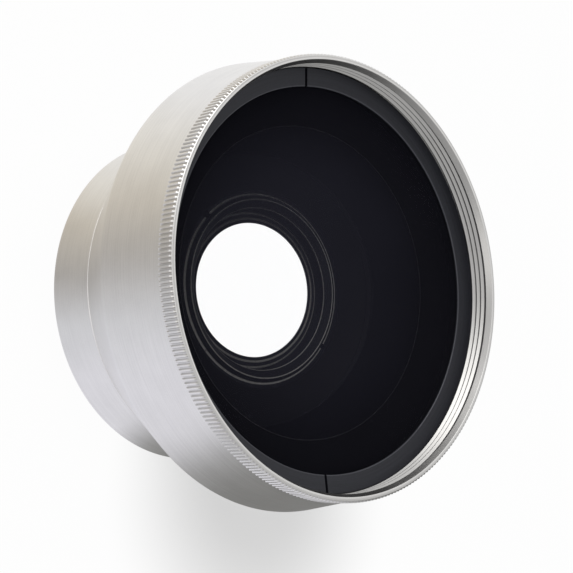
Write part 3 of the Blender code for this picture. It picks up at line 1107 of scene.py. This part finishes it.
class LENS_OT_mount_ring(bpy.types.Operator):
    """Turn the black mount ring with its fine male thread"""

    bl_idname = "lens.mount_ring"
    bl_label = "Mount Ring"

    def execute(self, context):
        sizes = context.scene.lens_sizes
        finishes = context.scene.lens_finishes
        crest = outer("mount_ring")
        wall = crest - THREAD_DEPTH
        height = top("mount_ring")
        rear = bottom("mount_ring")
        corners = [
            (wall, height),
            (wall, rear + MOUNT_EDGE),
            (wall - MOUNT_EDGE, rear, 0.5 * sizes.edge_break),
            (MOUNT_BORE, rear, sizes.edge_break),
            (MOUNT_BORE, height - MOUNT_LIP_HEIGHT),
            (MOUNT_OPENING, height - MOUNT_LIP_HEIGHT, sizes.edge_break),
            (MOUNT_OPENING, height, sizes.edge_break),
        ]
        turning = Turning(sizes.columns)
        turning.body(rounded(corners))
        turning.thread(
            wall, crest, rear + 0.5 * MOUNT_EDGE, height - MOUNT_THREAD_END, sizes.thread_pitch
        )
        black = black_anodised(
            "mount_anodised", finishes.anodised, finishes.barrel, wear_radius=in_mm(crest), roughness=0.38
        )
        turning.piece("mount_ring_turned", "macro_section", "mount_ring", [black])
        return {"FINISHED"}


def seen_through_glass(path):
    """1 where glass shows the backdrop, little of it by way of a glossy face, none by way of a dull one.

    Faces behind the glass take their light straight from the lamps and the world instead.
    """
    maths = path.sheet.maths
    dull = maths("GREATER_THAN", path.also("Diffuse Depth"), 0.5)
    glossy = maths("GREATER_THAN", path.also("Glossy Depth"), 0.5)
    return path.also("Is Transmission Ray") * (1.0 - dull) * (1.0 - (1.0 - GHOST_STRENGTH) * glossy)


def soft_light(name, setting, radiance):
    """A square soft light, its power worked out from how bright its face is. Glass doesn't show it."""
    place, size, colour = setting
    light = bpy.data.lights.new(name, "AREA")
    light.shape = "SQUARE"
    light.size = size
    light.energy = radiance * math.pi * size * size
    light.color = colour
    item = bpy.data.objects.new(name, light)
    item.location = place
    item.rotation_euler = (Vector(LIGHT_AIM) - Vector(place)).to_track_quat("-Z", "Y").to_euler()
    item.visible_transmission = False
    bpy.context.scene.collection.objects.link(item)


class LENS_OT_stage(bpy.types.Operator):
    """Set up the camera, the pale floor, the backdrop and the soft lights"""

    bl_idname = "lens.stage"
    bl_label = "Stage"

    def execute(self, context):
        stage = context.scene.lens_stage
        self.set_camera(context, stage)
        self.lay_floor()
        self.hang_backdrop(context)
        soft_light("key_light", KEY_LIGHT, stage.key_radiance)
        soft_light("fill_light", FILL_LIGHT, stage.fill_radiance)
        context.scene.view_settings.view_transform = "Standard"
        return {"FINISHED"}

    def set_camera(self, context, stage):
        data = bpy.data.cameras.new("photograph_camera")
        data.sensor_width = 36.0
        data.lens = stage.focal_length
        data.clip_start = 0.01
        item = bpy.data.objects.new("photograph_camera", data)
        place = Vector(stage.camera_place)
        sight = Vector(stage.camera_aim) - place
        turn = sight.to_track_quat("-Z", "Y") @ Quaternion((0.0, 0.0, 1.0), stage.camera_roll)
        item.location = place
        item.rotation_mode = "QUATERNION"
        item.rotation_quaternion = turn
        context.scene.collection.objects.link(item)
        context.scene.camera = item

    def lay_floor(self):
        """A pale floor that takes the shadow, and shows white where the camera or a glass sees it, except for
        a patch of painted shade beside the lens.

        Metal mirrors painted reflections in it: for blurred glossy rays it glows in grey and warm tones by
        angle round the lens, the dark ones standing for the table in shade. It sends no light through glass,
        and isn't sampled as a lamp.
        """
        form = bmesh.new()
        bmesh.ops.create_grid(form, x_segments=1, y_segments=1, size=FLOOR_HALF_WIDTH)
        mesh = bpy.data.meshes.new("studio_floor")
        form.to_mesh(mesh)
        form.free()
        material = bpy.data.materials.new("studio_floor")
        sheet = Sheet(material)
        path = sheet.node("ShaderNodeLightPath", output="Is Camera Ray")
        place = sheet.node("ShaderNodeTexCoord", output="Object")
        split = sheet.node("ShaderNodeSeparateXYZ", {}, {0: place}, "X")
        across = split - SHADE_CENTRE[0]
        along = split.also("Y") - SHADE_CENTRE[1]
        away = sheet.maths("SQRT", across * across + along * along)
        # Painted shade: near the patch's middle the camera sees less of the floor's white glow, so the floor
        # is greyer there
        near, far = SHADE_WHITE
        bare = near + (far - near) * sheet.rise(away, *SHADE_REACH)
        white = sheet.maths("MINIMUM", bare * path + seen_through_glass(path), 1.0)
        lit = 1.0 - path.also("Is Transmission Ray")
        unlit = sheet.node("ShaderNodeBsdfDiffuse", {}, {"Color": (0.0, 0.0, 0.0, 1.0)})
        pale = sheet.node("ShaderNodeBsdfDiffuse", {}, {"Color": (0.9, 0.9, 0.9, 1.0)})
        paper = sheet.node("ShaderNodeMixShader", {}, {0: lit, 1: unlit, 2: pale})
        glow = sheet.node("ShaderNodeEmission", {}, {"Color": (1.0, 1.0, 1.0, 1.0), "Strength": 1.0})
        seen = sheet.node("ShaderNodeMixShader", {}, {0: white, 1: paper, 2: glow})
        turn = sheet.maths("ARCTAN2", split.also("Y"), split) / (2.0 * math.pi) + 0.5
        # Painted reflection: the floor's glow for blurred glossy rays, in grey and warm tones by angle round
        # the lens
        stops = [((angle + 180.0) / 360.0, tone) for angle, tone in PAINTED_REFLECTION_TONES]
        painted_reflection = sheet.node("ShaderNodeValToRGB", {"stops": stops}, {0: turn})
        mirrored = sheet.node("ShaderNodeEmission", {}, {"Color": painted_reflection, "Strength": 1.0})
        blurred = path.also("Is Glossy Ray") * (1.0 - path.also("Is Singular Ray"))
        by_metal = blurred * (1.0 - path.also("Is Transmission Ray"))
        sheet.output(sheet.node("ShaderNodeMixShader", {}, {0: by_metal, 1: seen, 2: mirrored}))
        material.cycles.emission_sampling = "NONE"
        mesh.materials.append(material)
        item = bpy.data.objects.new("studio_floor", mesh)
        item.location = (0.0, 0.0, CAD_BOX[0][2])
        bpy.context.scene.collection.objects.link(item)

    def hang_backdrop(self, context):
        """A white world; what metal mirrors of it is brighter on the key light's side."""
        world = bpy.data.worlds.new("studio_backdrop")
        sheet = Sheet(world)
        path = sheet.node("ShaderNodeLightPath", output="Is Camera Ray")
        seen = sheet.maths("MAXIMUM", path, seen_through_glass(path))
        mirrored = path.also("Is Glossy Ray")
        direction = sheet.node("ShaderNodeTexCoord", output="Generated")
        side = sheet.node("ShaderNodeSeparateXYZ", {}, {0: direction}, "X")
        dim, full = BACKDROP_MIRRORED
        bright = dim + (full - dim) * sheet.rise(-1.0 * side, -0.5, 0.9)
        sharp = 1.0 - 0.9 * path.also("Is Singular Ray")
        unseen = (1.0 - seen) * (1.0 - path.also("Is Transmission Ray")) * sharp
        strength = seen + unseen * (mirrored * bright + (1.0 - mirrored) * BACKDROP_LIGHT)
        light = sheet.node("ShaderNodeBackground", {}, {"Color": (1.0, 1.0, 1.0, 1.0), "Strength": strength})
        sheet.output(light, "ShaderNodeOutputWorld")
        context.scene.world = world


class LENS_PT_build(bpy.types.Panel):
    """Lists the pieces of the lens"""

    bl_idname = "LENS_PT_build"
    bl_label = "Conversion Lens"
    bl_space_type = "VIEW_3D"
    bl_region_type = "UI"
    bl_category = "Lens"

    def draw(self, context):
        for group in ("lens_sizes", "lens_finishes", "lens_stage"):
            settings = getattr(context.scene, group)
            for name in settings.__annotations__:
                self.layout.prop(settings, name)
        for operator in OPERATORS:
            self.layout.operator(operator.bl_idname)


SETTINGS = {"lens_sizes": LensSizes, "lens_finishes": LensFinishes, "lens_stage": LensStage}
OPERATORS = (
    LENS_OT_front_barrel,
    LENS_OT_front_ring,
    LENS_OT_front_glass,
    LENS_OT_light_baffle,
    LENS_OT_macro_barrel,
    LENS_OT_macro_glasses,
    LENS_OT_mount_ring,
    LENS_OT_stage,
)


def register():
    for name, settings in SETTINGS.items():
        bpy.utils.register_class(settings)
        setattr(bpy.types.Scene, name, PointerProperty(type=settings))
    for operator in OPERATORS:
        bpy.utils.register_class(operator)
    bpy.utils.register_class(LENS_PT_build)


def unregister():
    bpy.utils.unregister_class(LENS_PT_build)
    for operator in reversed(OPERATORS):
        bpy.utils.unregister_class(operator)
    for name, settings in SETTINGS.items():
        delattr(bpy.types.Scene, name)
        bpy.utils.unregister_class(settings)


def main():
    register()
    bpy.ops.lens.front_barrel()
    bpy.ops.lens.front_ring()
    bpy.ops.lens.front_glass()
    bpy.ops.lens.light_baffle()
    bpy.ops.lens.macro_barrel()
    bpy.ops.lens.macro_glasses()
    bpy.ops.lens.mount_ring()
    bpy.ops.lens.stage()


if __name__ == "__main__":
    main()
